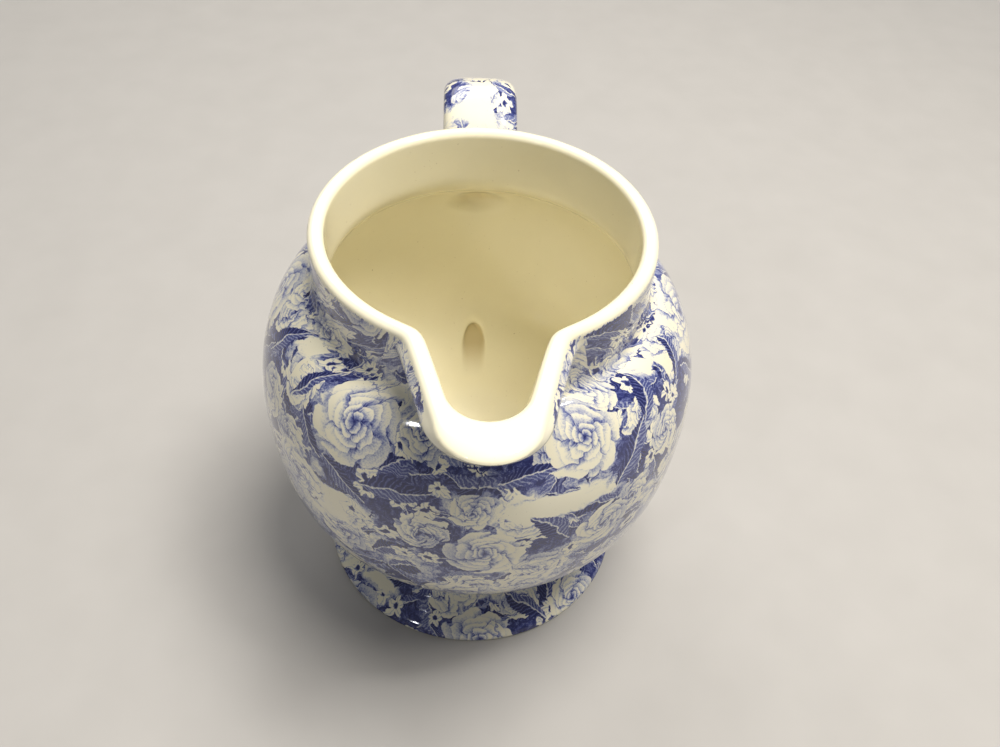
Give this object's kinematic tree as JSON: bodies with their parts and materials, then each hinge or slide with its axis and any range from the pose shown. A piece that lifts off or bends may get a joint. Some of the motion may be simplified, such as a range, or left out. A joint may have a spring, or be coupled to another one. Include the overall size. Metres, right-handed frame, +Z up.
{
  "type": "cream jug",
  "caption": "Small china cream jug with a round belly, upright neck, pulled pouring spout, splayed foot and strap handle.",
  "frame": {"origin": "centre of the footprint box, from spout tip to handle back, on the table plane", "axes": "+Z up, -Y towards the spout, +Y towards the handle; the bowl's own axis stands 5.9 mm towards -Y"},
  "size_m": [0.0978, 0.1315, 0.103],
  "materials": {
    "printed_glaze": "cream-white glossy glaze over a cobalt blue floral transfer print outside, plain inside and on the rim",
    "slip": "fired casting slip under the glaze"
  },
  "bodies": {
    "root": {"jug_body": "printed_glaze", "pouring_spout": "printed_glaze", "foot_ring": "printed_glaze", "handle": "printed_glaze", "spout_lute": "slip", "foot_lute": "slip", "handle_upper_lute": "slip", "handle_lower_lute": "slip"}
  },
  "joints": []
}
